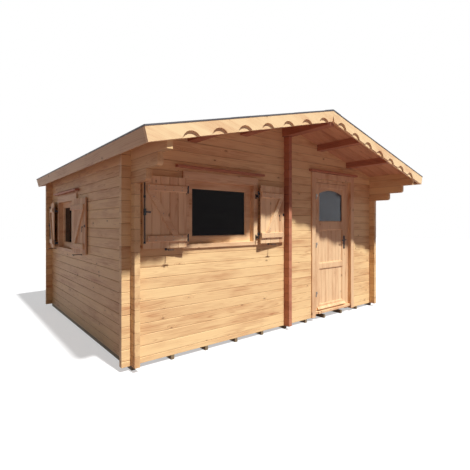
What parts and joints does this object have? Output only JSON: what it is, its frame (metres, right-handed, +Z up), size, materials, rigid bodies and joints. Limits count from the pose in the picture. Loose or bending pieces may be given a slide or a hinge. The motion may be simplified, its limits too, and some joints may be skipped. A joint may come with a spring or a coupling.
{
  "type": "log cabin",
  "caption": "Single-room log cabin with interlocking corners, low gabled roof oversailing the front, scalloped bargeboards, half-glazed door and shuttered windows",
  "frame": {"origin": "On the ground, in the middle of the bounding box", "axes": "+X runs right along the front wall as seen from outside, +Y runs from the front to the back, +Z is up; the front faces -Y"},
  "size_m": [4.9432, 4.476, 2.8733],
  "materials": {
    "bearers": "impregnated softwood, rough sawn",
    "boards": "planed softwood boards, pale honey",
    "felt": "black bituminous felt with mineral grit",
    "floor": "planed softwood floor boards",
    "glass": "clear float glass",
    "iron": "black, slightly rough",
    "logs": "planed softwood logs, oiled, honey brown"
  },
  "bodies": {
    "cabin": {"back_bargeboards": "boards", "back_cross_logs": "logs", "back_wall": "logs", "door_casing": "boards", "door_frame": "boards", "door_hinge_knuckles": "iron", "eave_fascias": "boards", "floor_bearers": "bearers", "floor_boards": "floor", "front_bargeboards_inner": "boards", "front_bargeboards_scalloped": "boards", "front_cross_logs": "logs", "front_gable": "logs", "front_wall_at_window": "logs", "front_wall_left": "logs", "front_wall_middle": "logs", "front_wall_right": "logs", "front_window_casing": "boards", "front_window_frame": "boards", "left_wall_back": "logs", "left_wall_below_window": "logs", "left_wall_front": "logs", "left_wall_top": "logs", "purlins": "logs", "ridge_beam": "logs", "ridge_capping": "felt", "right_wall": "logs", "right_wall_top": "logs", "roof_boards_left": "boards", "roof_boards_right": "boards", "roofing_felt": "felt", "shutter_fixings": "iron", "side_window_casing": "boards", "side_window_frame": "boards", "window_glass": "glass"},
    "door": {"door_leaf": "boards", "door_panels": "boards", "door_glass": "glass", "door_ironware": "iron"},
    "front_shutter_left": {"front_shutter_left": "boards", "front_shutter_left_irons": "iron"},
    "front_shutter_right": {"front_shutter_right": "boards", "front_shutter_right_irons": "iron"},
    "side_shutter_front": {"side_shutter_front": "boards", "side_shutter_front_irons": "iron"},
    "side_shutter_back": {"side_shutter_back": "boards", "side_shutter_back_irons": "iron"}
  },
  "joints": [
    {"name": "door_hinge", "type": "hinge", "parent": "cabin", "child": "door", "pos_m": [0.73, -1.4065, 1.138], "axis": [0, 0, -1], "range_deg": [0, 110]},
    {"name": "front_shutter_left_hinge", "type": "hinge", "parent": "cabin", "child": "front_shutter_left", "pos_m": [-1.62152, -1.506, 1.59], "axis": [0, 0, 1], "range_deg": [0, 186]},
    {"name": "front_shutter_right_hinge", "type": "hinge", "parent": "cabin", "child": "front_shutter_right", "pos_m": [-0.57848, -1.506, 1.59], "axis": [0, 0, -1], "range_deg": [0, 186]},
    {"name": "side_shutter_front_hinge", "type": "hinge", "parent": "cabin", "child": "side_shutter_front", "pos_m": [-2.316, 0.48648, 1.44], "axis": [0, 0, -1], "range_deg": [0, 186]},
    {"name": "side_shutter_back_hinge", "type": "hinge", "parent": "cabin", "child": "side_shutter_back", "pos_m": [-2.316, 1.52952, 1.44], "axis": [0, 0, 1], "range_deg": [0, 186]}
  ]
}
